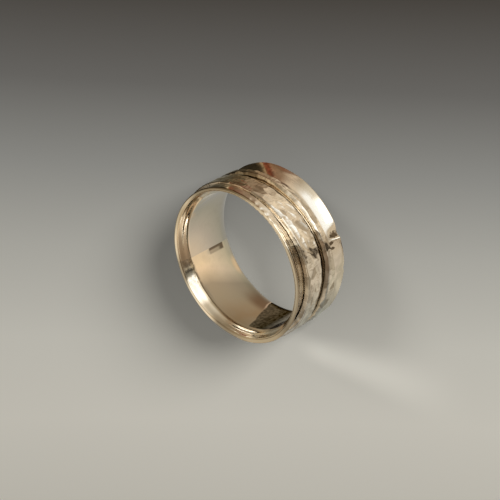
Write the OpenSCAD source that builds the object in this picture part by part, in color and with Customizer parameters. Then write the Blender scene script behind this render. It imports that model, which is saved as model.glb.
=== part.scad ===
// Spinner ring lying on its side: a finger band with two loose hammered hoops round it.
// Millimetres. The bore axis is +Z, the band rests on its rear rim at z = 0 and the front rim is up.

/* [Band] */
// Inside diameter of the band, the finger's size
bore_d = 18.2; // [14:0.1:23]
// Width of the band from rim to rim
band_w = 8.6; // [8:0.1:12]
// Thickness of the band's sheet
wall = 0.45; // [0.3:0.05:0.8]
// How far each rim flares outwards past the bore
flare_rise = 0.7; // [0.5:0.05:1]
// Length of each flared rim along the band
flare_l = 1.6; // [1.2:0.1:2]
// Breadth of the flat edge that each rim ends in
land_w = 0.55; // [0.4:0.05:0.7]
// Radius of the rim's outer corner
edge_r = 0.15; // [0.05:0.05:0.2]

/* [Spinners] */
// Width of the wide spinner
wide_w = 2.6; // [1.5:0.05:2.8]
// Width of the narrow spinner
narrow_w = 1.3; // [0.8:0.05:1.6]
// Radial thickness of both spinners
spinner_t = 0.85; // [0.6:0.05:1.2]
// Radial running clearance between the band and a spinner
run_clear = 0.08; // [0.04:0.01:0.1]
// Gap between the front flare and the wide spinner
front_gap = 0.2; // [0.1:0.05:0.3]
// Gap between the two spinners
middle_gap = 0.8; // [0.2:0.05:1]
// How far a spinner's outer edges are worn down
bevel_h = 0.15; // [0.05:0.01:0.25]
// Width of that worn edge
bevel_w = 0.3; // [0.1:0.05:0.35]

/* [Hammering] */
// Number of hammer marks round the wide spinner, a multiple of 4
wide_marks = 36; // [24:4:48]
// Number of hammer marks round the narrow spinner, a multiple of 4
narrow_marks = 44; // [24:4:60]
// Depth of the deepest hammer mark
mark_depth = 0.1; // [0:0.01:0.15]

/* [Hidden] */
$fn = 96;
silver = [0.80, 0.76, 0.69];
hammered_silver = [0.74, 0.69, 0.61];
bore_r = bore_d / 2;
band_r = bore_r + wall;
rim_r = bore_r + flare_rise + land_w;
// The flare's inner face is an arc that leaves the bore straight and rises to the flat edge
flare_r = (flare_l * flare_l + flare_rise * flare_rise) / (2 * flare_rise);
flare_x = bore_r + flare_r;
spinner_in_r = band_r + run_clear;
spinner_out_r = spinner_in_r + spinner_t;
wide_z = band_w - flare_l - front_gap - wide_w;
narrow_z = wide_z - middle_gap - narrow_w;
// Two staggered rows of marks share the wide spinner's width
wide_split = 0.55;
// The largest share of a mark's length by which a crest strays from its even place
stray = 0.3;
wide_seed = 7;
narrow_seed = 23;
row_seed = 40;

// Half-section of all that lies deeper than depth past the bore's surface, with the bore's axis along Y
module beyond(depth) {
    translate([flare_x, flare_l]) circle(r = flare_r - depth);
    translate([flare_x, band_w - flare_l]) circle(r = flare_r - depth);
    translate([bore_r + depth, flare_l]) square([flare_r, band_w - 2 * flare_l]);
}

// What rounds the outer corner of the rim at z = 0
module rim_corner() {
    difference() {
        translate([rim_r - edge_r, 0]) square(edge_r);
        translate([rim_r - edge_r, edge_r]) circle(r = edge_r);
    }
}

// Half-section of the band: one thickness of sheet, flared at both rims
module band_section() {
    difference() {
        intersection() {
            difference() {
                beyond(0);
                beyond(wall);
            }
            square([rim_r, band_w]);
        }
        rim_corner();
        translate([0, band_w]) mirror([0, 1]) rim_corner();
    }
}

// The flared band, one soldered piece
module base_band() {
    color(silver) rotate_extrude() band_section();
}

// Plain hoop of width w with worn outer edges, its lower face at z = 0
module hoop(w) {
    rotate_extrude() polygon([
        [spinner_in_r, 0],
        [spinner_out_r - bevel_h, 0],
        [spinner_out_r, bevel_w],
        [spinner_out_r, w - bevel_w],
        [spinner_out_r - bevel_h, w],
        [spinner_in_r, w]
    ]);
}

// Outline of one row of hammer marks: n flat marks between crests that stray from their even places.
// The four crests on the axes stay even and full, so that the hoop is centred.
module hammered_outline(n, seed, shift) {
    strays = rands(-stray, stray, n, seed);
    sinks = rands(0, mark_depth, n, seed + 1);
    function fixed(i) = i % (n / 4) == 0 && shift == 0;
    function crest_a(i) = (i + shift + (fixed(i) ? 0 : strays[i])) * 360 / n;
    function crest_r(i) = spinner_out_r - (fixed(i) ? 0 : sinks[i]);
    polygon([for (i = [0 : n - 1]) crest_r(i) * [cos(crest_a(i)), sin(crest_a(i))]]);
}

// The wide spinner: two rows of hammer marks, half a mark apart
module wide_spinner() {
    color(hammered_silver) translate([0, 0, wide_z]) intersection() {
        hoop(wide_w);
        union() {
            linear_extrude(wide_w * wide_split) hammered_outline(wide_marks, wide_seed, 0);
            translate([0, 0, wide_w * wide_split]) linear_extrude(wide_w * (1 - wide_split))
                hammered_outline(wide_marks, wide_seed + row_seed, 0.5);
        }
    }
}

// The narrow spinner: one row of hammer marks
module narrow_spinner() {
    color(hammered_silver) translate([0, 0, narrow_z]) intersection() {
        hoop(narrow_w);
        linear_extrude(narrow_w) hammered_outline(narrow_marks, narrow_seed, 0);
    }
}

base_band();
wide_spinner();
narrow_spinner();
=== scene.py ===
# Spinner ring: a flared silver band with two loose hammered hoops, lying on its side on a pale floor.
# Lengths are in millimetres up to the meshes, which are in metres. The bore axis is +Z.
import math
import bpy
import numpy as np
from mathutils import Matrix, Vector


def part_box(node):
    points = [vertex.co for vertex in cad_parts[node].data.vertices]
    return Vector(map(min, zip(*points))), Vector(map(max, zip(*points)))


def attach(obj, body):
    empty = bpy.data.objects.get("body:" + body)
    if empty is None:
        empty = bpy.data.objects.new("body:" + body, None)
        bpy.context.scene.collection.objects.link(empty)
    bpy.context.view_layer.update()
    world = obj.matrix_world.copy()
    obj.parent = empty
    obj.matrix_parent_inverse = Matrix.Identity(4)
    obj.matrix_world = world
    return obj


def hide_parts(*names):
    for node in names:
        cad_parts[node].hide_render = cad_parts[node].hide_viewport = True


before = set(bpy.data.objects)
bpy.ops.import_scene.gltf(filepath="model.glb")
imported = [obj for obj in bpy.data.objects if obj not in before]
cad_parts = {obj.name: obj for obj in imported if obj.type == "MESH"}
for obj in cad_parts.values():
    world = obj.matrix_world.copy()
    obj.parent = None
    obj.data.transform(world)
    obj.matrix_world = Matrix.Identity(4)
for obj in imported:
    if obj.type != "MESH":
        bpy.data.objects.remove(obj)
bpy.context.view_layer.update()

MM = 0.001
TURN = 2 * math.pi

# The band's outer sizes come from the frame; the others repeat the part's driving sizes
RIM_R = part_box("base_band")[1].x / MM
BAND_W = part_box("base_band")[1].z / MM
BORE_R = 9.1
WALL = 0.45
FLARE_RISE = 0.7
FLARE_L = 1.6

# The hoops' clearance round the band and, from the frame, their outer sizes
RUN_CLEAR = 0.08
HOOP_IN_R = BORE_R + WALL + RUN_CLEAR
HOOP_OUT_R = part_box("wide_spinner")[1].x / MM
WIDE_Z = [corner.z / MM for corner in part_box("wide_spinner")]
NARROW_Z = [corner.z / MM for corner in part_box("narrow_spinner")]

# The camera stands off the front of the ring and is rolled, as the photograph was held
CAMERA_ELEVATION = math.radians(39.7626)
CAMERA_ROLL = math.radians(118.5465)
CAMERA_AIM = (0.785, 1.103, 4.3)
CAMERA_DISTANCE = 246.83
CAMERA_LENS = 144
# Azimuth on the floor of the picture's upward direction
PICTURE_UP = math.radians(-19.19)


def placed(name, data):
    thing = bpy.data.objects.new(name, data)
    bpy.context.scene.collection.objects.link(thing)
    return thing


def make_camera():
    data = bpy.data.cameras.new("camera")
    data.lens = CAMERA_LENS
    data.sensor_width = 36
    data.clip_start = 0.01
    data.clip_end = 5
    camera = placed("camera", data)
    back = Vector((0, -math.cos(CAMERA_ELEVATION), math.sin(CAMERA_ELEVATION)))
    level = (-back).to_track_quat("-Z", "Y")
    camera.location = (Vector(CAMERA_AIM) + back * CAMERA_DISTANCE) * MM
    camera.rotation_mode = "QUATERNION"
    camera.rotation_quaternion = level @ Matrix.Rotation(-CAMERA_ROLL, 3, "Z").to_quaternion()
    bpy.context.scene.camera = camera


# Shape: closed half-sections, turned round the axis and displaced by fields of angle and place

# Spacing of a section's points while its corners are rounded
CLOSE_SPACING = 0.01
# A dent's middle and spread as shares of its length, and its sharp end's breadth in degrees
DENT_MIDDLE, DENT_SPREAD, DENT_END = 0.45, 0.35, 0.25
# Place and spread of the ridge after the sharp end, in degrees
RIDGE_PLACE, RIDGE_SPREAD = -0.6, 0.5


def picture_angle(degrees):
    """Azimuth in radians of a place given clockwise round the ring from the picture's upward direction."""
    return PICTURE_UP - math.radians(degrees)


def arc(centre, radius, start, end, steps=48):
    turn = np.radians(np.linspace(start, end, steps))
    return np.stack([centre[0] + radius * np.cos(turn), centre[1] + radius * np.sin(turn)], 1)


def run_lengths(line):
    """Length from the start of a closed line to each of its points, and round to the start again."""
    steps = np.hypot(*np.diff(np.concatenate([line, line[:1]]), axis=0).T)
    return np.concatenate([[0], np.cumsum(steps)])


def points_along(line, places):
    """Points of a closed line at the given lengths from its start."""
    along = run_lengths(line)
    closed = np.concatenate([line, line[:1]])
    return np.stack([np.interp(places, along, closed[:, k]) for k in (0, 1)], 1)


def rounded_line(parts, radius):
    """Joins the parts into one closed line of close points, its corners rounded to about the radius."""
    line = np.concatenate([np.asarray(p, float) for p in parts])
    steps = np.hypot(*(np.roll(line, -1, axis=0) - line).T)
    line = line[steps > 1e-6]
    length = run_lengths(line)[-1]
    line = points_along(line, np.arange(0, length, CLOSE_SPACING))
    reach = int(3 * radius / CLOSE_SPACING)
    offsets = np.arange(-reach, reach + 1)
    weights = np.exp(-0.5 * (offsets * CLOSE_SPACING / (0.75 * radius)) ** 2)
    weights /= weights.sum()
    return sum(w * np.roll(line, o, axis=0) for w, o in zip(weights, offsets))


def thinned(line, spacing):
    """Keeps points of a closed line so that they lie about spacing[point] apart."""
    along = run_lengths(line)
    share = np.concatenate([[0], np.cumsum(np.diff(along) / spacing)])
    count = int(round(share[-1]))
    places = np.interp(np.linspace(0, share[-1], count, endpoint=False), share, along)
    return points_along(line, places)


def waves(angle, along, seed, count, slow, fast, height):
    """A gentle uneven field, periodic round the ring: crests run from slow to fast times round it."""
    draw = np.random.default_rng(seed)
    field = np.zeros(np.broadcast(angle, along).shape)
    for _ in range(count):
        turns = draw.integers(slow, fast + 1)
        tilt = draw.uniform(-1, 1) * turns / HOOP_OUT_R
        phase = draw.uniform(0, TURN)
        field = field + np.cos(turns * angle + tilt * along + phase)
    return field * height / math.sqrt(count)


def away_from(angle, centre):
    """Signed degrees round the ring from an azimuth."""
    return np.degrees(np.angle(np.exp(1j * (angle - centre))))


def humps(angle, rows):
    """Sum of smooth humps given as (picture angle, half width in degrees, height)."""
    field = np.zeros(angle.shape)
    for place, half_width, height in rows:
        away = away_from(angle, picture_angle(place))
        field = field + height * np.exp(-0.5 * (away / (0.6 * half_width)) ** 2)
    return field


def note(piece, label, field):
    """Keeps a field of a turned piece on its mesh, for its material to read."""
    layer = piece.data.attributes.new(label, "FLOAT", "POINT")
    layer.data.foreach_set("value", field.astype(np.float32).ravel())


def soft_step(value):
    """0 well below nought, 1 well above it and a smooth step between."""
    return 0.5 + 0.5 * np.tanh(0.5 * value)


def dents(angle, rows):
    """Hollows that end in a ridge, from rows of picture angle, length, depth and the ridge's height."""
    field = np.zeros(angle.shape)
    for place, length, depth, ridge in rows:
        before = away_from(angle, picture_angle(place))
        hollow = np.exp(-0.5 * ((before - DENT_MIDDLE * length) / (DENT_SPREAD * length)) ** 2)
        field -= depth * hollow * soft_step(before / DENT_END)
        field += ridge * np.exp(-0.5 * ((before - RIDGE_PLACE) / RIDGE_SPREAD) ** 2)
    return field


def turned(name, radius, height, angle):
    """A closed smooth mesh from fields of radius and height, by angle and section point."""
    points = np.stack([radius * np.cos(angle), radius * np.sin(angle), height], -1) * MM
    around, across = radius.shape
    i, j = np.meshgrid(np.arange(around), np.arange(across), indexing="ij")
    i2 = (i + 1) % around
    j2 = (j + 1) % across
    quads = np.stack([i * across + j, i2 * across + j, i2 * across + j2, i * across + j2], -1)
    mesh = bpy.data.meshes.new(name)
    mesh.from_pydata(points.reshape(-1, 3).tolist(), [], quads.reshape(-1, 4).tolist())
    mesh.polygons.foreach_set("use_smooth", [True] * len(mesh.polygons))
    mesh.update()
    return placed(name, mesh)


def grid(section, steps):
    """Angle, radius and height of each place of a section turned in steps."""
    angle = np.arange(steps)[:, None] * TURN / steps * np.ones((1, len(section)))
    return angle, *(np.repeat(section[None, :, k], steps, 0) for k in (0, 1))


# The band

BAND_STEPS = 560
RIM_ROUND = 0.06
RIM_SPACING = 0.05
FLARE_SPACING = 0.1
BORE_SPACING = 0.2
# The solder seam: picture angle, half width and depth
SEAM_DEGREES = 273
SEAM_ANGLE = picture_angle(SEAM_DEGREES)
SEAM_HALF_WIDTH = 0.07
SEAM_DEPTH = 0.012
# The flares are worn straighter than arcs: length and bend, outside the rear one and inside the front one
REAR_FLARE = (2.2, 1.3)
FRONT_LIP = (1.35, 1.12)
# How far the front rim's worn edge is domed, and how far down the dome reaches
FRONT_DOME = 0.08
DOME_REACH = 0.12
# Uneven fields: seed, number of waves, fewest and most crests round the ring, and height
BAND_WAVES = (3, 12, 2, 14, 0.006)
FLARE_WAVES = (5, 10, 3, 12, 0.018)
CRUMPLE_WAVES = (11, 24, 30, 80, 1.0)
EDGE_WAVES = (13, 24, 30, 80, 1.0)
# How far the waves are drawn in, so that no crest passes the true size
BAND_INSET = 0.012
FLARE_INSET = 0.03
# Flats where the rims have been knocked in: picture angle, half width in degrees and shift
REAR_FLATS = [(128, 26, -0.22)]
FRONT_FLATS = [(205, 22, -0.08), (310, 25, -0.05)]
# Dents: picture angle of the sharp end, length back from it in degrees, depth and the ridge's height
REAR_DENTS = [(87.5, 8, 0.3, 0.08), (113, 5, 0.1, 0.05)]
# Where the front rim's edge is worn thin, rolled over the hoop and crumpled
FRONT_WORN = [(344, 34, -0.24)]
FRONT_ROLLED = [(24, 44, 1.6)]
FRONT_CRUMPLED = [(38, 36, 1.0)]
# Radius that the roll reaches, and the heights between which it starts
ROLL_R = RIM_R - 0.02
ROLL_HEIGHTS = (7.42, 7.6)
CRUMPLE = 0.035
# Worn ridges along the inside: picture angle, half width in degrees, height, half breadth and shift
RIDGES = [
    (303, 24, 8.05, 0.12, -0.05), (300, 20, 7.55, 0.13, -0.035), (270, 14, 7.75, 0.25, 0.04),
    (243, 12, 6.8, 0.12, -0.03), (188, 22, 8.0, 0.12, -0.04), (190, 16, 7.5, 0.12, -0.03),
]
# The notch beside the seam: picture angle, half width in degrees, height, half height and depth
NOTCH = (270.4, 2.3, 2.85, 1.3, 0.05)
NOTCH_SHARPNESS = 12


def flared(radius, rise, length, bend):
    """Radius of a flare, and the depth below its rim, from the rim down to where it leaves the wall."""
    depth = np.linspace(0, length, 40)
    return radius + rise * (1 - depth / length) ** bend, depth


def band_section():
    inner_r = (FLARE_L ** 2 + FLARE_RISE ** 2) / (2 * FLARE_RISE)
    outer_r = inner_r - WALL
    centre_x = BORE_R + inner_r
    inner_end = math.degrees(math.asin(FLARE_L / inner_r))
    outer_end = math.degrees(math.acos((centre_x - RIM_R) / outer_r))
    rear = (centre_x, FLARE_L)
    front = (centre_x, BAND_W - FLARE_L)
    outside_r, outside_z = flared(BORE_R + WALL, RIM_R - BORE_R - WALL, *REAR_FLARE)
    lip_r, lip_depth = flared(BORE_R, FLARE_RISE, *FRONT_LIP)
    line = rounded_line([
        np.stack([outside_r, outside_z], 1),
        arc(front, outer_r, 180, 180 - outer_end),
        [(RIM_R, BAND_W)],
        np.stack([lip_r, BAND_W - lip_depth], 1),
        arc(rear, inner_r, 180, 180 + inner_end),
    ], RIM_ROUND)
    land = (RIM_R - BORE_R - FLARE_RISE) / 2
    off_middle = (line[:, 0] - RIM_R + land) / land
    domed = FRONT_DOME * np.clip(off_middle, -1, 1) ** 2
    line[:, 1] -= np.where(line[:, 1] > BAND_W - DOME_REACH, domed, 0)
    from_rim = BAND_W / 2 - np.abs(line[:, 1] - BAND_W / 2)
    spacing = np.interp(from_rim, [0.2, 0.5, FLARE_L, FLARE_L + 0.8],
                        [RIM_SPACING, FLARE_SPACING, FLARE_SPACING, BORE_SPACING])
    return thinned(line, spacing)


def notch_depth(angle, height):
    """A shallow notch beside the seam, narrower towards the front."""
    place, half_width, level, half_height, depth = NOTCH
    across = away_from(angle, picture_angle(place)) / half_width
    along = (height - level) / half_height
    side = soft_step(NOTCH_SHARPNESS * (1 - np.abs(across) / (0.85 - 0.15 * along)))
    end = soft_step(NOTCH_SHARPNESS * (1 - np.abs(along)))
    return depth * side * end


def inner_relief(angle, height):
    """Shift outwards of the band's inside: its notch, worn ridges and solder seam."""
    shift = notch_depth(angle, height)
    for place, half_width, level, half_breadth, rise in RIDGES:
        along = humps(angle, [(place, half_width, rise)])
        shift += along * np.exp(-0.5 * ((height - level) / half_breadth) ** 2)
    across_seam = np.radians(away_from(angle, SEAM_ANGLE)) * BORE_R
    return shift + SEAM_DEPTH * np.exp(-0.5 * (across_seam / SEAM_HALF_WIDTH) ** 2)


def front_wear(angle, radius, height, flare):
    """Shift outwards of the front rim's outside: worn thin in one place, rolled in another."""
    outward = np.clip((radius - BORE_R - flare ** 2 * FLARE_RISE) / WALL, 0, 1)
    worn = flare ** 2 * outward * humps(angle, FRONT_WORN)
    low, high = ROLL_HEIGHTS
    rolled = np.clip(humps(angle, FRONT_ROLLED), 0, 1) * outward ** 4
    rolled *= np.clip((height - low) / (high - low), 0, 1)
    return worn + rolled * np.clip(ROLL_R - radius, 0, None)


def make_band():
    angle, radius, height = grid(band_section(), BAND_STEPS)
    from_middle = np.abs(height - BAND_W / 2)
    flare = np.clip((from_middle - (BAND_W / 2 - FLARE_L)) / FLARE_L, 0, 1)
    front = height > BAND_W / 2
    inside = radius < BORE_R + WALL / 2 + flare ** 2 * FLARE_RISE
    knocked = humps(angle, REAR_FLATS) + dents(angle, REAR_DENTS)
    knocked = np.where(front, humps(angle, FRONT_FLATS), knocked)
    moved = waves(angle, height, *BAND_WAVES) - BAND_INSET
    moved += flare ** 2 * (waves(angle, height, *FLARE_WAVES) - FLARE_INSET + knocked)
    moved += inside * inner_relief(angle, height)
    moved += front * front_wear(angle, radius, height, flare)
    crumpled = front * flare ** 2 * humps(angle, FRONT_CRUMPLED) * CRUMPLE
    moved += crumpled * waves(angle, height, *CRUMPLE_WAVES)
    height = height - crumpled * np.abs(waves(angle, radius, *EDGE_WAVES))
    piece = turned("band", radius + moved, height, angle)
    note(piece, "bore", np.where(front, np.clip((BORE_R + 0.2 - radius) / 0.1, 0, 1), inside))
    return piece


# The hoops

HOOP_STEPS = 1080
HOOP_ROUND = 0.11
FACE_SPACING = 0.065
BACK_SPACING = 0.17
# Hammer marks: shares of the greatest depth, how far they stray round and across, and how far they lean,
# skew and turn
MARK_DEPTHS = (0.3, 1.0)
MARK_STRAYS = (0.04, 0.15)
MARK_TILTS = (0.15, 0.1, 0.5)
# How a mark rises by the squares of the distances along and across it, and how sharp the crests are
MARK_RISES = (0.07, 0.3)
MARK_SHARPNESS = 200
# The crests stay this far inside the true size
HOOP_INSET = 0.012
# Uneven fields of the face and of both edges, as on the band but without the seed
FACE_WAVES = (30, 36, 90, 1.0)
REAR_WAVES = (14, 9, 50, 0.035)
FRONT_WAVES = (14, 9, 50, 0.022)
# How far the first and last row of marks lie from a hoop's edges
ROW_INSET = 0.2
# The loose hoops hang a little askew: the picture angle of their rearmost place
LEAN_ANGLE = 154
# How softly the painted reflections and shade on a worn front edge end
EDGE_WIDTH = 0.2
# Marks are those of one row, crumple is the unevenness of the face, bevel is how far the front edge is worn
# down, and rear and front tell where the edges leave their even places, by picture angle, half width in
# degrees and shift
WIDE_HOOP = {
    "span": WIDE_Z, "marks": 62, "rows": 7, "seed": 7, "depth": 0.08,
    "crumple": 0.005, "lean": 0.15, "bevel": 0.1, "gap_in_front": False,
    "rear": [(22, 34, 0.5), (132, 28, 0.8), (250, 50, 0.15)], "front": [(16, 60, 0.5), (200, 60, 0.12)],
}
NARROW_HOOP = {
    "span": NARROW_Z, "marks": 64, "rows": 3, "seed": 23, "depth": 0.05,
    "crumple": 0.004, "lean": 0.38, "bevel": 0.38, "gap_in_front": True,
    "rear": [(14, 36, 0.45), (62, 34, 0.3), (120, 30, 0.1)],
    "front": [(40, 50, 0.26), (128, 26, 0.72), (240, 40, -0.1)],
}


def hammered(angle, height, marks, seed, depth):
    """How far each place lies below the crests, by the deepest mark there, and that mark's tone."""
    draw = np.random.default_rng(seed)
    total = np.zeros(angle.shape)
    toned = np.zeros(angle.shape)
    for turn, level in marks:
        turn, level = (v + draw.uniform(-stray, stray) for v, stray in zip((turn, level), MARK_STRAYS))
        sunk = depth * draw.uniform(*MARK_DEPTHS)
        lean, skew, turned_by = (draw.uniform(-most, most) for most in MARK_TILTS)
        away = np.angle(np.exp(1j * (angle - turn))) * HOOP_OUT_R
        up = height - level
        along = away * math.cos(turned_by) + up * math.sin(turned_by)
        across = up * math.cos(turned_by) - away * math.sin(turned_by)
        rise = along ** 2 * MARK_RISES[0] + across ** 2 * MARK_RISES[1] + lean * up + skew * away
        weight = np.exp(MARK_SHARPNESS * np.clip(sunk - rise, -0.3, None))
        total += weight
        toned += weight * draw.uniform(0, 1)
    return np.log(total + 1) / MARK_SHARPNESS, toned / total


def mark_rows(count, levels):
    """Rows of hammer marks, each row half a mark round from the last."""
    marks = []
    for row, level in enumerate(levels):
        marks += [((k + row / 2) * TURN / count, level) for k in range(count)]
    return marks


def hoop_section(low, high, bevel):
    """A hoop's section, with close points only on the face that shows."""
    line = rounded_line([
        [(HOOP_IN_R, low), (HOOP_OUT_R, low), (HOOP_OUT_R, high - bevel), (HOOP_OUT_R - bevel, high),
         (HOOP_IN_R, high)],
    ], HOOP_ROUND)
    face = line[:, 0] > HOOP_OUT_R - 2 * HOOP_ROUND
    return thinned(line, np.where(face, FACE_SPACING, BACK_SPACING))


def recess(facing, radius):
    """1 on the end face that looks into the gap between the hoops; facing grows from 0 to 1 towards it."""
    inside = np.clip((HOOP_OUT_R - 0.05 - radius) / 0.08, 0, 1)
    return np.clip((facing - 0.9) / 0.05, 0, 1) * inside


def make_hoop(name, span, marks, rows, seed, depth, crumple, lean, bevel, gap_in_front, rear, front):
    low, high = span
    angle, radius, height = grid(hoop_section(low, high, bevel), HOOP_STEPS)
    outward = np.clip((radius - HOOP_IN_R) / (HOOP_OUT_R - HOOP_IN_R), 0, 1) ** 2
    levels = np.linspace(low + ROW_INSET, high - ROW_INSET, rows)
    sunk, tone = hammered(angle, height, mark_rows(marks, levels), seed, depth)
    sunk = sunk + crumple * (1 + waves(angle, height, seed + 1, *FACE_WAVES))
    share = (height - low) / (high - low)
    rear_shift = humps(angle, rear) + waves(angle, 0, seed + 2, *REAR_WAVES)
    front_shift = humps(angle, front) + waves(angle, 0, seed + 3, *FRONT_WAVES)
    moved = rear_shift * (1 - share) + front_shift * share
    moved -= lean * np.cos(angle - picture_angle(LEAN_ANGLE))
    piece = turned(name, radius - np.clip(sunk, HOOP_INSET, None) * outward, height + moved, angle)
    note(piece, "sunk", sunk * outward)
    note(piece, "tone", tone)
    note(piece, "recess", recess(share if gap_in_front else 1 - share, radius))
    note(piece, "edge", np.clip((bevel + EDGE_WIDTH - (high - height)) / EDGE_WIDTH, 0, 1))
    return piece


# Node helpers

def linear(red, green, blue):
    """Linear colour of a screen colour given from 0 to 255."""
    values = [c / 255 for c in (red, green, blue)]
    return tuple(c / 12.92 if c <= 0.04045 else ((c + 0.055) / 1.055) ** 2.4 for c in values)


class Nodes:
    """Short calls that add nodes to a tree and link them."""

    def __init__(self, tree):
        self.tree = tree

    def add(self, kind, inputs=None, **settings):
        node = self.tree.nodes.new("ShaderNode" + kind)
        for key, value in settings.items():
            setattr(node, key, value)
        self.fill(node, inputs or {})
        return node

    def fill(self, node, inputs):
        for key, value in inputs.items():
            self.feed(node.inputs[key], value)

    def feed(self, socket, value):
        if isinstance(value, bpy.types.NodeSocket):
            self.tree.links.new(value, socket)
        elif isinstance(value, tuple) and len(value) == 3 and socket.type == "RGBA":
            socket.default_value = (*value, 1)
        else:
            socket.default_value = value

    def math(self, operation, *values, clamp=False):
        node = self.add("Math", dict(enumerate(values)), operation=operation, use_clamp=clamp)
        return node.outputs[0]

    def product(self, *values):
        result = values[0]
        for value in values[1:]:
            result = self.math("MULTIPLY", result, value)
        return result

    def smooth(self, value, low, high):
        """0 below low, 1 above high and a smooth step between; low may be the larger."""
        node = self.add("MapRange", {0: value, 1: low, 2: high}, interpolation_type="SMOOTHSTEP")
        return node.outputs[0]

    def mask(self, fields, limits):
        """Product of smooth steps, from limits that give a field's name and its values for 0 and for 1."""
        return self.product(*[self.smooth(fields[name], low, high) for name, low, high in limits])

    def mix(self, share, first, second):
        return self.add("Mix", {0: share, 6: first, 7: second}, data_type="RGBA").outputs[2]

    def azimuth(self, x, y):
        return self.math("DEGREES", self.math("ARCTAN2", y, x))

    def line(self, value, slope, start):
        return self.math("MULTIPLY_ADD", value, slope, start)

    def minus(self, first, second):
        return self.math("SUBTRACT", first, second)

    def ratio(self, first, second):
        return self.math("DIVIDE", first, second)

    def scaled(self, colour, factor):
        return self.add("VectorMath", {0: colour, "Scale": factor}, operation="SCALE").outputs[0]

    def tinted(self, colour, tint):
        return self.add("VectorMath", {0: colour, 1: tint}, operation="MULTIPLY").outputs[0]

    def attribute(self, name):
        return self.add("Attribute", attribute_name=name).outputs["Fac"]

    def ramp(self, value, stops):
        """A colour ramp from (place, colour) stops."""
        node = self.add("ValToRGB", {0: value})
        elements = node.color_ramp.elements
        while len(elements) < len(stops):
            elements.new(0.5)
        for element, (place, colour) in zip(elements, stops):
            element.position = place
            element.color = (*colour, 1)
        return node.outputs[0]

    def noise(self, vector, scale, detail, roughness=0.5):
        node = self.add("TexNoise", {"Vector": vector, "Scale": scale, "Detail": detail,
                                               "Roughness": roughness})
        return node.outputs["Fac"]


def new_material(name):
    """A material with its node calls and its shader."""
    material = bpy.data.materials.new(name)
    material.use_nodes = True
    return material, Nodes(material.node_tree), material.node_tree.nodes["Principled BSDF"]


# The room that the silver mirrors: soft walls and a large window, laid out by azimuth in degrees

SILVER = (0.85, 0.82, 0.77)
WHITE = (1.0, 1.0, 1.0)
# The window: its colour, strength and limits
WINDOW_COLOUR = (255, 250, 238)
WINDOW_STRENGTH = 2.4
WINDOW_LIMITS = [("azimuth", -108, -100), ("azimuth", -60, -76), ("elevation", 60, 40)]
# The walls: azimuth and colour
ROOM_STOPS = [
    (-180, (226, 200, 164)), (-168, (174, 151, 121)), (-156, (156, 134, 107)), (-140, (146, 121, 93)),
    (-124, (132, 112, 88)), (-116, (132, 122, 103)), (-108, (150, 140, 118)), (-100, (238, 222, 192)),
    (-60, (214, 198, 170)), (-50, (200, 186, 160)), (-38, (170, 152, 124)), (-17, (136, 118, 90)),
    (-4, (150, 124, 94)), (12, (200, 173, 136)), (24, (224, 198, 162)), (38, (180, 156, 122)),
    (56, (150, 130, 103)), (74, (146, 132, 110)), (90, (155, 145, 123)), (108, (137, 127, 107)),
    (135, (150, 138, 117)), (158, (172, 154, 128)), (168, (210, 186, 152)), (176, (232, 206, 170)),
    (180, (226, 200, 164)),
]
# Upright bars in the room: azimuth, half width and colour
ROOM_BARS = [(-113.5, 2.4, (92, 83, 68)), (-118, 1.4, (190, 172, 142))]
# Things in the room: azimuths and elevations from and to, softness and colour
ROOM_SHAPES = [
    (100, 170, -10, 38, 10, (216, 190, 152)),
    (-14, 60, 19, 70, 4, (205, 180, 142)),
    (45, 140, 18, 100, 8, (222, 205, 175)),
    (-2, 12, -9, 4, 2, (122, 54, 38)),
]
# A dark low shape at the far right; "leaned" is the azimuth less the lean of its near edge
DARK_SLOPE = 0.2
DARK_LIMITS = [("leaned", 17, 19), ("azimuth", 72, 60), ("elevation", 13, 9)]
DARK_COLOUR = (56, 48, 35)
# How much brighter the room looks after each further bounce in the silver
BOUNCE_GAIN = 1.35
# Soft light from all round, and the lamps: name, azimuth, elevation, distance, size and power
SOFT_LIGHT = (0.14, 0.14, 0.14)
LAMPS = [("key", -89, 20, 2500, 800, 61), ("fill", 25, 38, 2500, 1000, 9)]


def seen(colour):
    """The room colour that shows as this screen colour in the silver."""
    return tuple(c / s for c, s in zip(linear(*colour), SILVER))


def turn_ramp(nodes, azimuth, stops):
    share = nodes.line(azimuth, 1 / 360, 0.5)
    return nodes.ramp(share, [((a + 180) / 360, seen(c)) for a, c in stops])


def bar(nodes, value, middle, half_width):
    """1 within half_width of the middle, with soft sides."""
    away = nodes.math("ABSOLUTE", nodes.minus(value, middle))
    return nodes.smooth(away, half_width * 1.5, half_width * 0.5)


def between_limits(nodes, value, low, high, softness):
    rise = nodes.smooth(value, low - softness, low + softness)
    return nodes.product(rise, nodes.smooth(value, high + softness, high - softness))


def room_colour(nodes, azimuth, elevation):
    fields = {"azimuth": azimuth, "elevation": elevation}
    fields["leaned"] = nodes.line(elevation, -DARK_SLOPE, azimuth)
    bright = tuple(WINDOW_STRENGTH * c for c in linear(*WINDOW_COLOUR))
    room = nodes.mix(nodes.mask(fields, WINDOW_LIMITS), turn_ramp(nodes, azimuth, ROOM_STOPS), bright)
    for middle, half_width, colour in ROOM_BARS:
        room = nodes.mix(bar(nodes, azimuth, middle, half_width), room, seen(colour))
    for west, east, low, high, softness, colour in ROOM_SHAPES:
        inside = nodes.product(between_limits(nodes, azimuth, west, east, softness),
                               between_limits(nodes, elevation, low, high, softness))
        room = nodes.mix(inside, room, seen(colour))
    return nodes.mix(nodes.mask(fields, DARK_LIMITS), room, seen(DARK_COLOUR))


def only_mirrored(nodes):
    """1 for what is seen straight in the silver, 0 for what lights the floor by way of it."""
    path = nodes.add("LightPath")
    direct = nodes.math("LESS_THAN", path.outputs["Diffuse Depth"], 0.5)
    return nodes.product(path.outputs["Is Glossy Ray"], direct)


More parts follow.
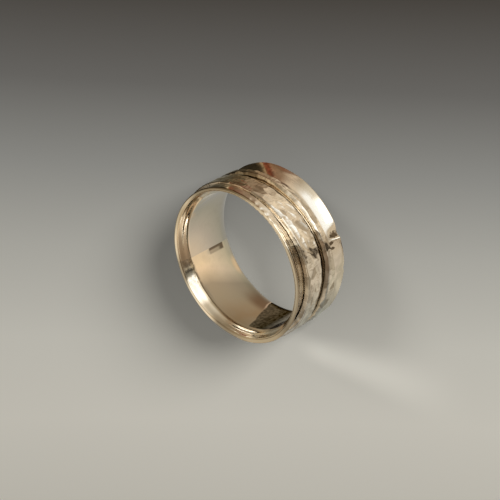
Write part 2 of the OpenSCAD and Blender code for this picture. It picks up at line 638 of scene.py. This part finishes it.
def bounce_gain(nodes):
    """Makes up for the light that every bounce after the first loses in the silver."""
    path = nodes.add("LightPath")
    further = nodes.math("MAXIMUM", nodes.minus(path.outputs["Glossy Depth"], 1), 0)
    return nodes.math("POWER", BOUNCE_GAIN, further)


def make_room():
    """Reflections see the painted room; everything else gets plain soft light."""
    world = bpy.data.worlds.new("room")
    world.use_nodes = True
    bpy.context.scene.world = world
    nodes = Nodes(world.node_tree)
    towards = nodes.add("TexCoord").outputs["Generated"]
    x, y, z = nodes.add("SeparateXYZ", {0: towards}).outputs
    azimuth = nodes.azimuth(x, y)
    elevation = nodes.math("DEGREES", nodes.math("ARCSINE", z))
    background = world.node_tree.nodes["Background"]
    room = nodes.scaled(room_colour(nodes, azimuth, elevation), bounce_gain(nodes))
    nodes.feed(background.inputs["Color"], nodes.mix(only_mirrored(nodes), SOFT_LIGHT, room))


def make_lamp(name, azimuth, elevation, distance, size, power):
    """A round lamp that lights the floor and doesn't show in the silver."""
    data = bpy.data.lights.new(name, "AREA")
    data.shape = "DISK"
    data.size = size * MM
    data.energy = power
    light = placed(name, data)
    turn = math.radians(azimuth)
    lift = math.radians(elevation)
    towards = Vector((math.cos(lift) * math.cos(turn), math.cos(lift) * math.sin(turn), math.sin(lift)))
    light.location = towards * distance * MM
    light.rotation_mode = "QUATERNION"
    light.rotation_quaternion = towards.to_track_quat("Z", "Y")
    light.visible_glossy = False


# The floor and what the silver mirrors of it

FLOOR_SIZE = 2000
# Painted fall-off of light: the floor is painted lighter towards this azimuth, and the shades fan out a
# little: place along it and colour
FLOOR_TURN = math.radians(158.8)
FLOOR_FAN = 0.003
FLOOR_FALLOFF_STOPS = [
    (-32, (72, 68, 63)), (-20, (103, 101, 97)), (-9, (139, 138, 133)), (2, (169, 167, 159)),
    (14, (190, 187, 177)), (25, (196, 192, 181)), (37, (189, 185, 174)),
]
# How much of the floor's own colour the lamps and the soft light bring out
FLOOR_LIGHT = 0.58
FLOOR_ROUGHNESS = 0.7
# Light that the bore throws on the floor inside the ring, and the radii between which it ends
BORE_GLOW = 0.31
BORE_GLOW_END = (10.0, 9.8)
# A streak of light that the ring throws on the floor: start, azimuth, lengths where it rises and fades,
# half width and how that grows, and strength
STREAK_START = (-11.9, 8.2)
STREAK_TURN = math.radians(-122.3)
STREAK_RISE = (0, 6)
STREAK_FADE = (30, 9)
STREAK_WIDTH = 2.2
STREAK_FAN = 0.14
STREAK_GLOW = 0.15


def make_plane(name, size, height):
    mesh = bpy.data.meshes.new(name)
    half = size / 2 * MM
    corners = [(-half, -half, 0), (half, -half, 0), (half, half, 0), (-half, half, 0)]
    mesh.from_pydata(corners, [], [(0, 1, 2, 3)])
    plane = placed(name, mesh)
    plane.location.z = height * MM
    return plane


def object_place(nodes):
    """Place over the object in millimetres, whole and in its three parts."""
    place = nodes.scaled(nodes.add("TexCoord").outputs["Object"], 1 / MM)
    return place, *nodes.add("SeparateXYZ", {0: place}).outputs


def distance_from(nodes, x, y, middle_x, middle_y):
    across = nodes.minus(x, middle_x)
    along = nodes.minus(y, middle_y)
    squares = nodes.line(across, across, nodes.product(along, along))
    return nodes.math("SQRT", squares)


def along_and_across(nodes, x, y, turn):
    """A place on the floor as lengths along and across an azimuth."""
    along = nodes.line(x, math.cos(turn), nodes.product(y, math.sin(turn)))
    across = nodes.minus(nodes.product(y, math.cos(turn)), nodes.product(x, math.sin(turn)))
    return along, across


def thrown_streak(nodes, x, y):
    x = nodes.minus(x, STREAK_START[0])
    y = nodes.minus(y, STREAK_START[1])
    along, across = along_and_across(nodes, x, y, STREAK_TURN)
    width = nodes.line(along, STREAK_FAN, STREAK_WIDTH)
    side = nodes.math("ABSOLUTE", nodes.ratio(across, width))
    return nodes.product(nodes.smooth(side, 1, 0), nodes.smooth(along, *STREAK_RISE),
                         nodes.smooth(along, *STREAK_FADE))


# Paints the floor's fall-off of light into its colour.
def painted_floor_falloff(nodes, x, y):
    along, across = along_and_across(nodes, x, y, FLOOR_TURN)
    along = nodes.product(along, nodes.line(across, FLOOR_FAN, 1))
    start = FLOOR_FALLOFF_STOPS[0][0]
    length = FLOOR_FALLOFF_STOPS[-1][0] - start
    share = nodes.math("DIVIDE", nodes.minus(along, start), length, clamp=True)
    lit = [((d - start) / length, tuple(v / FLOOR_LIGHT for v in linear(*c))) for d, c in FLOOR_FALLOFF_STOPS]
    return nodes.ramp(share, lit)


def make_floor():
    floor = make_plane("floor", FLOOR_SIZE, 0)
    material, nodes, shader = new_material("floor")
    _, x, y, _ = object_place(nodes)
    colour = painted_floor_falloff(nodes, x, y)
    within = nodes.smooth(distance_from(nodes, x, y, 0, 0), *BORE_GLOW_END)
    glow = nodes.product(within, BORE_GLOW)
    glow = nodes.line(thrown_streak(nodes, x, y), STREAK_GLOW, glow)
    nodes.fill(shader, {"Base Color": colour, "Emission Color": colour, "Emission Strength": glow,
                        "Roughness": FLOOR_ROUGHNESS, "Specular IOR Level": 0})
    floor.data.materials.append(material)


# Colours by azimuth that show in the narrow hoop, in the wide hoop and, from further off, in the rear flare
NEAR_STOPS = [
    (-180, (150, 148, 133)), (-165, (142, 135, 118)), (-148, (180, 168, 144)), (-128, (182, 168, 142)),
    (-117, (152, 135, 112)), (-107, (186, 166, 137)), (-96, (215, 193, 160)), (-80, (208, 190, 160)),
    (-69, (184, 168, 143)), (-57, (152, 135, 110)), (-48, (126, 101, 80)), (-38, (118, 80, 56)),
    (-31, (126, 100, 72)), (-19, (140, 114, 84)), (-13, (66, 56, 40)), (2, (60, 52, 38)),
    (14, (112, 106, 92)), (40, (124, 119, 106)), (62, (140, 137, 126)), (88, (172, 155, 130)),
    (105, (145, 122, 92)), (120, (112, 88, 67)), (150, (139, 134, 122)), (180, (150, 148, 133)),
]
MIDDLE_STOPS = [
    (-180, (156, 149, 132)), (-162, (166, 155, 134)), (-144, (190, 174, 150)), (-132, (190, 174, 150)),
    (-118, (186, 170, 145)), (-112, (150, 132, 106)), (-105, (196, 176, 145)), (-88, (212, 191, 160)),
    (-64, (210, 188, 156)), (-50, (212, 190, 158)), (-42, (192, 168, 138)), (-34, (132, 108, 82)),
    (-22, (140, 116, 88)), (-10, (98, 80, 55)), (0, (84, 71, 49)), (12, (82, 75, 58)),
    (40, (110, 104, 90)), (60, (136, 133, 121)), (90, (140, 130, 112)), (120, (130, 116, 96)),
    (160, (148, 142, 126)), (180, (151, 144, 127)),
]
FAR_STOPS = [
    (-180, (165, 155, 135)), (-150, (180, 168, 146)), (-130, (190, 172, 144)), (-118, (188, 168, 140)),
    (-111, (196, 180, 155)), (-105, (255, 250, 236)), (-62, (255, 250, 236)), (-52, (206, 190, 164)),
    (-40, (160, 140, 114)), (-26, (140, 112, 88)), (-17, (122, 68, 48)), (-9, (118, 52, 36)),
    (-5, (142, 88, 58)), (-3.5, (222, 192, 145)), (-1.5, (222, 192, 145)), (0.5, (58, 50, 37)),
    (50, (58, 50, 37)), (70, (134, 121, 100)), (110, (137, 127, 107)), (180, (165, 155, 135)),
]
# Distances from the axis over which the first colours give way to the second and those to the third
NEAR_REACH = (12.6, 14.2)
MIDDLE_REACH = (17, 24)
# A bar of the room goes on over the floor: azimuth, half width and colour
SPOKE_PLACE = (-113, 2.0)
SPOKE_COLOUR = (74, 63, 50)
# The floor inside the ring, by distance from a place near its left
INNER_MIDDLE = (-3, 0)
INNER_END = 12
INNER_STOPS = [
    (3, (219, 195, 163)), (5.4, (202, 184, 159)), (6.5, (188, 173, 151)), (8.3, (173, 163, 142)),
    (9.6, (160, 153, 134)), (12, (151, 147, 138)),
]
# Radii between which the floor inside the ring gives way to the floor outside
INNER_REACH = (9.9, 9.5)
# A pale patch inside the ring: middle, distances from it where the patch ends and is whole, and colour
PATCH_MIDDLE = (0, 9.3)
PATCH_REACH = (1.6, 0.4)
PATCH_COLOUR = (190, 168, 138)
# Soft mottling of the floor outside the ring
MOTTLE_SCALE = 0.45
MOTTLE_LOW = 0.87
MOTTLE_HIGH = 1.13
CARD_HEIGHT = 0.004


def inner_floor_colour(nodes, x, y):
    from_middle = nodes.ratio(distance_from(nodes, x, y, *INNER_MIDDLE), INNER_END)
    inner = nodes.ramp(from_middle, [(d / INNER_END, seen(c)) for d, c in INNER_STOPS])
    patch = nodes.smooth(distance_from(nodes, x, y, *PATCH_MIDDLE), *PATCH_REACH)
    return nodes.mix(patch, inner, seen(PATCH_COLOUR))


def mirrored_floor_colour(nodes):
    place, x, y, _ = object_place(nodes)
    azimuth = nodes.azimuth(x, y)
    away = distance_from(nodes, x, y, 0, 0)
    near, middle, far = (turn_ramp(nodes, azimuth, s) for s in (NEAR_STOPS, MIDDLE_STOPS, FAR_STOPS))
    outer = nodes.mix(nodes.smooth(away, *NEAR_REACH), near, middle)
    mottle = nodes.smooth(nodes.noise(place, MOTTLE_SCALE, 3, 0.6), 0.4, 0.6)
    outer = nodes.mix(mottle, nodes.scaled(outer, MOTTLE_LOW), nodes.scaled(outer, MOTTLE_HIGH))
    outer = nodes.mix(bar(nodes, azimuth, *SPOKE_PLACE), outer, seen(SPOKE_COLOUR))
    outer = nodes.mix(nodes.smooth(away, *MIDDLE_REACH), outer, far)
    return nodes.mix(nodes.smooth(away, *INNER_REACH), outer, inner_floor_colour(nodes, x, y))


def make_mirrored_floor():
    """A card just over the floor that only reflections see."""
    card = make_plane("mirrored_floor", FLOOR_SIZE, CARD_HEIGHT)
    for ray in ("camera", "diffuse", "shadow", "transmission"):
        setattr(card, "visible_" + ray, False)
    material, nodes, shader = new_material("mirrored_floor")
    material.cycles.emission_sampling = "NONE"
    nodes.tree.nodes.remove(shader)
    strength = nodes.product(only_mirrored(nodes), bounce_gain(nodes))
    light = nodes.add("Emission", {"Color": mirrored_floor_colour(nodes), "Strength": strength})
    nodes.feed(nodes.tree.nodes["Material Output"].inputs["Surface"], light.outputs[0])
    card.data.materials.append(material)


# Materials: worn silver with painted reflections and shade, in millimetres over the object and by the angle
# round it

BUMP_DEPTH = 0.004
TARNISH = (0.45, 0.41, 0.35)


def ring_field_nodes(nodes):
    """Place in millimetres, share of a turn clockwise from the solder seam, radius and height."""
    place, x, y, z = object_place(nodes)
    turn = nodes.minus(SEAM_ANGLE, nodes.math("ARCTAN2", y, x))
    share = nodes.math("FRACT", nodes.ratio(turn, TURN))
    return {"place": place, "share": share, "radius": distance_from(nodes, x, y, 0, 0), "z": z}


def seam_share(degrees):
    """Share of a turn from the solder seam to a picture angle."""
    return ((degrees - SEAM_DEGREES) % 360) / 360


def ring_ramp(nodes, share, stops):
    """A ramp round the ring, from stops of picture angle and a colour or one number for a grey."""
    return nodes.ramp(share, [(seam_share(p), c if isinstance(c, tuple) else (c,) * 3) for p, c in stops])


def running(nodes, ring_fields, length, breadth, detail):
    """Noise stretched round the ring, so that it looks like running scratches."""
    along = nodes.product(ring_fields["share"], TURN * BORE_R / length)
    across = nodes.ratio(ring_fields["z"], breadth)
    deep = nodes.ratio(ring_fields["radius"], breadth)
    stretched = nodes.add("CombineXYZ", {0: along, 1: across, 2: deep}).outputs[0]
    return nodes.noise(stretched, 1, detail)


def finish_silver(nodes, shader, colour, roughness, height):
    bump = nodes.add("Bump", {"Strength": 1.0, "Distance": BUMP_DEPTH * MM, "Height": height})
    nodes.fill(shader, {"Metallic": 1, "Base Color": colour, "Roughness": roughness,
                        "Normal": bump.outputs[0]})


# Painted reflections and painted shade inside the bore, clockwise from the solder seam: picture angle and
# colour
BORE_REFLECTION_STOPS = [
    (273, (0.69, 0.67, 0.63)), (340, (0.67, 0.64, 0.59)), (150, (0.5, 0.47, 0.42)),
    (186, (0.43, 0.34, 0.24)), (204, (0.42, 0.31, 0.2)), (216, (0.44, 0.36, 0.26)),
    (228, (0.44, 0.4, 0.32)), (242, (0.46, 0.42, 0.35)), (249.5, (0.7, 0.64, 0.53)),
    (255.5, (0.94, 0.84, 0.7)), (262, (0.98, 0.89, 0.72)), (272.9, (0.86, 0.79, 0.66)),
]
# Degrees that the painted reflections and shade lean by for each millimetre below this height; above it the
# lean is limited, and by the seam there is none
BORE_LEAN = 3
LEAN_HEIGHT = 4
LEAN_LEAST = -1.8
LEAN_LIMITS = [("share", 0.99, 0.965)]
# Where the specks lighten what they lie on
SPECK_LIMITS = [("specks", 0.35, 0.65)]
# The painted dark reflection's edge: its picture angle at the rear rim, and how it leans with the height
# and wanders;
# "past" is the share of a turn by which a place lies past that edge
DARK_REFLECTION_ANGLE = 208.4
DARK_REFLECTION_LEAN = -1.75
DARK_REFLECTION_WANDER = 0.016
# The painted dark reflection, whole over the bore's height in one stretch and faded towards the rear in
# another
DARK_REFLECTION_STOPS = [
    (164, (0.42, 0.42, 0.39)), (171, (0.38, 0.38, 0.34)), (177, (0.25, 0.24, 0.21)),
    (184, (0.18, 0.16, 0.125)), (214, (0.16, 0.13, 0.09)),
]
DARK_REFLECTION_LIMITS = [("past", 0.0008, -0.0016), ("z", 7.0, 6.9)]
WHOLE_LIMITS = [("share", 0.705, 0.745)]
FADED_LIMITS = [("z", 1.0, 3.6), ("share", 0.66, 0.69)]
# Shine that the painted dark reflection leaves where it is light and where it is dark
LIGHT_REFLECTION_SHINE = (0.5, 0.5, 0.5)
DARK_REFLECTION_SHINE = (0.15, 0.15, 0.15)
DARKEST_REFLECTION_LIMITS = [("share", 0.725, 0.755)]
# Painted warm shade, and a painted pale reflected line beside the painted dark reflection
WARM_SHADE = (0.23, 0.145, 0.09)
WARM_SHADE_LIMITS = [("past", 0.08, 0.02), ("z", 3.6, 2.2), ("share", 0.6, 0.65)]
WARM_SHADE_STRENGTH = 0.9
PALE_REFLECTED_LINE = (0.72, 0.56, 0.45)
PALE_REFLECTED_LIMITS = [("past", 0.0045, 0.001), ("z", 3.2, 1.6), ("share", 0.6, 0.65)]
# Dark solder with painted shade in the notch, lighter in its middle
SOLDER_AND_SHADE = (0.24, 0.19, 0.14)
SOLDER_AND_SHADE_LIMITS = [("z", 1.5, 1.7), ("z", 4.2, 3.9), ("share", 0.984, 0.988)]
NOTCH_MIDDLE_LIMITS = [("z", 2.0, 2.5), ("share", 0.996, 0.9925)]
NOTCH_MIDDLE_LIGHTENED = 0.55


def bore_reflection_tint(nodes, ring_fields):
    """Painted reflections and shade: tan and grey halves that meet at the seam."""
    below = nodes.math("MAXIMUM", nodes.minus(LEAN_HEIGHT, ring_fields["z"]), LEAN_LEAST)
    below = nodes.product(below, nodes.mask(ring_fields, LEAN_LIMITS))
    return ring_ramp(nodes, nodes.line(below, BORE_LEAN / 360, ring_fields["share"]), BORE_REFLECTION_STOPS)


# Share of a turn by which a place lies past the painted dark reflection's edge.
def past_dark_reflection_edge(nodes, ring_fields):
    wander = nodes.line(ring_fields["clouds"], DARK_REFLECTION_WANDER, -DARK_REFLECTION_WANDER / 2)
    edge = nodes.line(ring_fields["z"], DARK_REFLECTION_LEAN / 360, seam_share(DARK_REFLECTION_ANGLE))
    return nodes.math("ADD", nodes.minus(ring_fields["share"], edge), wander)


def painted_dark_reflection(nodes, ring_fields):
    """The painted dark reflection's flecked colour, and where it lies."""
    stain = ring_ramp(nodes, ring_fields["share"], DARK_REFLECTION_STOPS)
    flecked = nodes.mix(nodes.mask(ring_fields, SPECK_LIMITS), nodes.scaled(stain, 0.7), nodes.scaled(stain, 1.4))
    whole = nodes.math("MAXIMUM", nodes.mask(ring_fields, WHOLE_LIMITS), nodes.mask(ring_fields, FADED_LIMITS))
    return flecked, nodes.product(nodes.mask(ring_fields, DARK_REFLECTION_LIMITS), whole)


def bore_reflections_and_shade(nodes, ring_fields):
    """The bore's colour: painted reflections and shade, a painted pale line, solder with painted shade, and
    where the painted dark reflection lies.
    """
    ring_fields = {**ring_fields, "past": past_dark_reflection_edge(nodes, ring_fields)}
    warm = nodes.product(nodes.mask(ring_fields, WARM_SHADE_LIMITS), WARM_SHADE_STRENGTH)
    bore = nodes.mix(warm, bore_reflection_tint(nodes, ring_fields), WARM_SHADE)
    bore = nodes.mix(nodes.mask(ring_fields, PALE_REFLECTED_LIMITS), bore, PALE_REFLECTED_LINE)
    flecked, reflection_mask = painted_dark_reflection(nodes, ring_fields)
    bore = nodes.mix(reflection_mask, bore, flecked)
    middle_lightened = nodes.line(nodes.mask(ring_fields, NOTCH_MIDDLE_LIMITS), -NOTCH_MIDDLE_LIGHTENED, 1.0)
    return nodes.mix(nodes.product(nodes.mask(ring_fields, SOLDER_AND_SHADE_LIMITS), middle_lightened), bore, SOLDER_AND_SHADE), reflection_mask


# Painted highlights and painted shade along the front rim's flat edge: picture angle and tint
RIM_LIGHT_STOPS = [
    (273, (0.58, 0.54, 0.48)), (280, (1, 0.97, 0.9)), (290, (1.1, 1.04, 0.95)), (304, (0.8, 0.75, 0.66)),
    (316, (0.64, 0.6, 0.52)), (328, (0.8, 0.77, 0.72)), (342, (0.36, 0.34, 0.29)),
    (356, (0.34, 0.31, 0.26)), (14, (0.4, 0.36, 0.29)), (26, (0.5, 0.45, 0.37)), (36, (0.95, 0.91, 0.84)),
    (60, (0.98, 0.93, 0.86)), (80, (0.66, 0.63, 0.57)), (120, (0.49, 0.47, 0.43)),
    (143, (0.26, 0.245, 0.22)), (158, (0.52, 0.48, 0.41)), (187, (0.6, 0.56, 0.48)),
    (208, (0.34, 0.31, 0.27)), (219, (0.4, 0.385, 0.36)), (226, (1.15, 1.1, 1.05)),
    (248, (1.1, 1.09, 1.07)), (259, (0.5, 0.48, 0.44)), (272, (0.48, 0.46, 0.42)),
]
EDGE_LIMITS = [("z", 8.3, 8.5)]
# Darkening of the outer half of the flat edge: picture angle and how much
OUTER_STOPS = [(273, 0), (322, 0), (336, 1), (34, 1), (50, 0), (272, 0)]
OUTER_COLOUR = (0.46, 0.42, 0.36)
OUTER_LIMITS = [("radius", 9.92, 10.08)]
# Painted highlights and painted shade along the front lip's inside: picture angle and tint
LIP_LIGHT_STOPS = [
    (273, (0.95, 0.93, 0.9)), (284, (1.17, 1.15, 1.12)), (330, 1.17), (345, (0.8, 0.82, 0.84)),
    (0, (0.58, 0.63, 0.72)), (24, (0.76, 0.8, 0.88)), (34, 1.17), (54, 1.17), (62, (0.95, 0.91, 0.89)),
    (72, 1.17), (100, (1.12, 1.15, 1.17)), (120, (1.05, 1.1, 1.17)), (132, (0.8, 0.82, 0.86)),
    (142, (0.4, 0.38, 0.36)), (154, (0.9, 0.87, 0.84)), (166, 1.17), (204, 1.17), (222, 1.06),
    (240, (0.94, 0.9, 0.85)), (252, (0.68, 0.66, 0.64)), (262, (0.7, 0.72, 0.74)), (272, 0.84),
]
LIP_LIMITS = [("z", 6.9, 7.2), ("radius", 10.1, 9.9)]
MOTTLED_LIMITS = [("share", seam_share(245), seam_share(256))]


# Paints highlights and shade along the front rim's flat edge and the front lip's inside, and darkens the
# edge's outer half.
def painted_rim_light(nodes, ring_fields, colour):
    tint = ring_ramp(nodes, ring_fields["share"], RIM_LIGHT_STOPS)
    outer = nodes.product(ring_ramp(nodes, ring_fields["share"], OUTER_STOPS), nodes.mask(ring_fields, OUTER_LIMITS))
    tint = nodes.mix(outer, tint, nodes.tinted(tint, OUTER_COLOUR))
    lip = ring_ramp(nodes, ring_fields["share"], LIP_LIGHT_STOPS)
    mottled = nodes.scaled(lip, nodes.line(nodes.mask(ring_fields, SPECK_LIMITS), 0.7, 0.6))
    lip = nodes.mix(nodes.mask(ring_fields, MOTTLED_LIMITS), lip, mottled)
    lip = nodes.mix(nodes.mask(ring_fields, LIP_LIMITS), WHITE, lip)
    return nodes.tinted(colour, nodes.mix(nodes.mask(ring_fields, EDGE_LIMITS), lip, tint))


# Painted reflections on the rear flare, a dark patch, a pale line and a red streak: picture angle at the
# rim and tint; they lean with the height, and "leaned" is the share of a turn less that lean
FLARE_REFLECTION_STOPS = [
    (300, 1), (318, (0.5, 0.47, 0.4)), (359.4, (0.42, 0.4, 0.34)), (0.6, (1.25, 1.18, 1.02)),
    (1.8, (1.25, 1.18, 1.02)), (3.2, (0.66, 0.26, 0.19)), (7.5, (0.6, 0.25, 0.19)),
    (10, (0.88, 0.7, 0.64)), (22, 1),
]
FLARE_LEAN = 8
FLECK_LIMITS = [("leaned", seam_share(318), seam_share(335)), ("leaned", seam_share(16), seam_share(9))]
# Painted dark reflections on the rear flare, as blots: picture angle, half width in degrees, height and
# half height
FLARE_DARK_REFLECTIONS = [(84.8, 2.6, 0.65, 0.62), (89.6, 1.2, 1.3, 0.45), (93.5, 1.0, 1.2, 0.3)]
BLOT_REFLECTION_COLOUR = (0.2, 0.17, 0.14)
BLOT_RAGGED = 2.4
BLOT_EDGE = (1.1, 0.7)
FLARE_LIMITS = [("radius", 9.5, 9.6), ("z", 3, 2.4)]


def with_dark_reflections(nodes, ring_fields, tint):
    """Paints a dark reflection into a tint inside each blot, whose edge the specks make ragged."""
    ragged = nodes.line(ring_fields["specks"], BLOT_RAGGED, -BLOT_RAGGED / 2)
    for place, half_width, level, half_height in FLARE_DARK_REFLECTIONS:
        along = nodes.product(nodes.minus(ring_fields["share"], seam_share(place)), 360 / half_width)
        across = nodes.ratio(nodes.minus(ring_fields["z"], level), half_height)
        away = nodes.math("ADD", distance_from(nodes, along, across, 0, 0), ragged)
        tint = nodes.mix(nodes.smooth(away, *BLOT_EDGE), tint, BLOT_REFLECTION_COLOUR)
    return tint


# Paints reflections onto the rear flare's colour.
def flare_painted_reflections(nodes, ring_fields, colour):
    leaned = nodes.line(ring_fields["z"], -FLARE_LEAN / 360, ring_fields["share"])
    tint = ring_ramp(nodes, leaned, FLARE_REFLECTION_STOPS)
    flecks = nodes.line(nodes.smooth(ring_fields["specks"], 0.35, 0.7), 0.6, 0.7)
    flecked = nodes.mask({"leaned": leaned}, FLECK_LIMITS)
    tint = nodes.mix(flecked, tint, nodes.scaled(tint, flecks))
    tint = with_dark_reflections(nodes, ring_fields, tint)
    return nodes.tinted(colour, nodes.mix(nodes.mask(ring_fields, FLARE_LIMITS), WHITE, tint))


# Dirt gathers in faint clouds and in the channel under the hoops
CLOUD_LIMITS = [("clouds", 0.5, 0.72)]
CLOUD_DIRT = 0.15
CHANNEL_LIMITS = [("radius", 9.7, 9.58), ("radius", 9.3, 9.5)]
CHANNEL_DIRT = 0.5


def polished_silver():
    """Bright silver with running scratches, and painted reflections and shade in the bore, on the rear
    flare and along the front rim.
    """
    material, nodes, shader = new_material("polished_silver")
    ring_fields = ring_field_nodes(nodes)
    ring_fields["clouds"] = nodes.noise(ring_fields["place"], 0.5, 5, 0.6)
    ring_fields["specks"] = nodes.noise(ring_fields["place"], 2.6, 4, 0.6)
    scratches = running(nodes, ring_fields, 2.5, 0.12, 3)
    inside = nodes.attribute("bore")
    bore, reflection_mask = bore_reflections_and_shade(nodes, ring_fields)
    colour = painted_rim_light(nodes, ring_fields, flare_painted_reflections(nodes, ring_fields, nodes.mix(inside, SILVER, bore)))
    dirt = nodes.product(nodes.mask(ring_fields, CLOUD_LIMITS), CLOUD_DIRT)
    channel = nodes.product(nodes.mask(ring_fields, CHANNEL_LIMITS), CHANNEL_DIRT)
    colour = nodes.mix(nodes.math("ADD", dirt, channel, clamp=True), colour, TARNISH)
    # The painted dark reflection also dulls the silver's shine.
    shine = nodes.mix(nodes.mask(ring_fields, DARKEST_REFLECTION_LIMITS), LIGHT_REFLECTION_SHINE, DARK_REFLECTION_SHINE)
    shine = nodes.mix(nodes.product(reflection_mask, inside), WHITE, shine)
    nodes.feed(shader.inputs["Specular Tint"], shine)
    roughness = nodes.line(nodes.smooth(scratches, 0.45, 0.75), 0.1, 0.04)
    roughness = nodes.line(ring_fields["clouds"], 0.05, roughness)
    height = nodes.line(scratches, 0.5, ring_fields["specks"])
    finish_silver(nodes, shader, colour, roughness, height)
    return material


# Colour of the hammer marks, from the dullest to the brightest
MARK_TONES = [
    (0.0, (0.46, 0.42, 0.36)), (0.3, (0.72, 0.68, 0.62)), (0.6, (0.88, 0.85, 0.8)),
    (1.0, (0.97, 0.95, 0.9)),
]
# Tarnish between the hoops, with painted highlights and painted shade by picture angle: picture angle and
# colour
RECESS_TARNISH_AND_SHADE_STOPS = [
    (273, (0.4, 0.35, 0.29)), (350, (0.5, 0.45, 0.38)), (30, (0.95, 0.9, 0.8)), (70, (0.95, 0.9, 0.8)),
    (86, (0.5, 0.45, 0.37)), (100, (0.36, 0.31, 0.24)), (135, (0.36, 0.31, 0.24)),
    (150, (0.4, 0.35, 0.28)), (272, (0.4, 0.35, 0.29)),
]
# Painted reflections and painted shade on the hoops' front edges: picture angle and tint
WIDE_EDGE_LIGHT_STOPS = [
    (273, (0.4, 0.38, 0.34)), (330, (0.25, 0.24, 0.23)), (350, (0.25, 0.24, 0.23)), (2, (0.6, 0.57, 0.53)),
    (24, (0.85, 0.84, 0.82)), (38, (0.8, 0.81, 0.83)), (48, (0.84, 0.83, 0.82)), (58, (0.7, 0.67, 0.63)),
    (72, (0.66, 0.62, 0.56)), (84, (0.5, 0.52, 0.54)), (96, (0.95, 1.0, 1.05)), (110, (0.78, 0.84, 0.9)),
    (122, (0.56, 0.6, 0.68)), (132, (0.44, 0.48, 0.56)), (150, (0.42, 0.46, 0.54)),
    (272, (0.4, 0.38, 0.34)),
]
NARROW_EDGE_LIGHT_STOPS = [
    (273, (0.3, 0.28, 0.25)), (340, (0.3, 0.28, 0.25)), (4, (0.28, 0.26, 0.22)), (16, (0.4, 0.36, 0.31)),
    (28, (0.8, 0.76, 0.72)), (40, 1.05), (52, (1.0, 0.98, 0.97)), (62, (0.78, 0.76, 0.74)),
    (84, (0.85, 0.84, 0.84)), (104, (0.55, 0.56, 0.58)), (122, (0.45, 0.47, 0.5)),
    (134, (0.7, 0.76, 0.84)), (150, (0.75, 0.82, 0.92)), (272, (0.3, 0.28, 0.25)),
]
# Fine dark dirt in the hammering, made strongest over the top of the ring as painted dark reflection:
# picture angle and how strong it is
GRIME_AND_REFLECTION_STOPS = [
    (273, 0.5), (320, 0.8), (345, 0.95), (12, 0.95), (26, 0.6), (38, 0.25), (60, 0.35), (80, 0.4),
    (96, 0.5), (110, 0.3), (150, 0.4), (272, 0.5),
]
GRIME_COLOUR = (0.36, 0.3, 0.23)
GRIME_STEP = (0.5, 0.66)
# Dirt in deep marks and where a hoop's face is hidden
PIT_DEPTHS = (0.07, 0.14)
HIDDEN_LIMITS = [("radius", 9.9, 9.7)]
PIT_DIRT = 0.5


def hammered_colour(nodes, ring_fields, pits, edge_light_stops):
    """Tones of the marks, dirt in the pits, tarnish with painted highlights and shade in the gap, fine
    grime with painted dark reflections, and painted reflections and shade on the front edge.
    """
    dirt = nodes.product(nodes.math("MAXIMUM", pits, nodes.mask(ring_fields, HIDDEN_LIMITS)), PIT_DIRT)
    colour = nodes.mix(dirt, nodes.ramp(nodes.attribute("tone"), MARK_TONES), TARNISH)
    colour = nodes.mix(nodes.attribute("recess"), colour, ring_ramp(nodes, ring_fields["share"], RECESS_TARNISH_AND_SHADE_STOPS))
    streaks = nodes.smooth(running(nodes, ring_fields, 0.2, 0.7, 4), *GRIME_STEP)
    grime_and_reflection = nodes.product(streaks, ring_ramp(nodes, ring_fields["share"], GRIME_AND_REFLECTION_STOPS))
    colour = nodes.mix(grime_and_reflection, colour, GRIME_COLOUR)
    # Painted reflections and shade on the front edge, by picture angle.
    edge = nodes.mix(nodes.attribute("edge"), WHITE, ring_ramp(nodes, ring_fields["share"], edge_light_stops))
    return nodes.tinted(colour, edge)


def hammered_silver(name, edge_light_stops):
    """Hammered silver with bright marks, dirt where the marks are deep, and painted reflections and shade.
    """
    material, nodes, shader = new_material(name)
    ring_fields = ring_field_nodes(nodes)
    clouds = nodes.noise(ring_fields["place"], 0.7, 5, 0.6)
    specks = nodes.noise(ring_fields["place"], 3.2, 5, 0.65)
    scratches = running(nodes, ring_fields, 1.2, 0.14, 3)
    deep = nodes.line(nodes.minus(clouds, 0.5), 0.1, nodes.attribute("sunk"))
    pits = nodes.smooth(deep, *PIT_DEPTHS)
    colour = hammered_colour(nodes, ring_fields, pits, edge_light_stops)
    roughness = nodes.line(nodes.smooth(scratches, 0.4, 0.75), 0.12, 0.08)
    roughness = nodes.line(pits, 0.1, roughness)
    height = nodes.line(scratches, 0.6, specks)
    finish_silver(nodes, shader, colour, roughness, height)
    return material


# The scene

def dress(piece, body, node, material):
    """Gives a piece its material, and hands it to its body in place of its node."""
    piece.data.materials.append(material)
    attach(piece, body)
    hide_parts(node)


make_camera()
band = make_band()
wide = make_hoop("wide_hoop", **WIDE_HOOP)
narrow = make_hoop("narrow_hoop", **NARROW_HOOP)
dress(band, "band", "base_band", polished_silver())
wide_silver = hammered_silver("hammered_wide", WIDE_EDGE_LIGHT_STOPS)
dress(wide, "wide_hoop", "wide_spinner", wide_silver)
narrow_silver = hammered_silver("hammered_narrow", NARROW_EDGE_LIGHT_STOPS)
dress(narrow, "narrow_hoop", "narrow_spinner", narrow_silver)
make_room()
for lamp in LAMPS:
    make_lamp(*lamp)
make_floor()
make_mirrored_floor()
bpy.context.scene.view_settings.view_transform = "Standard"
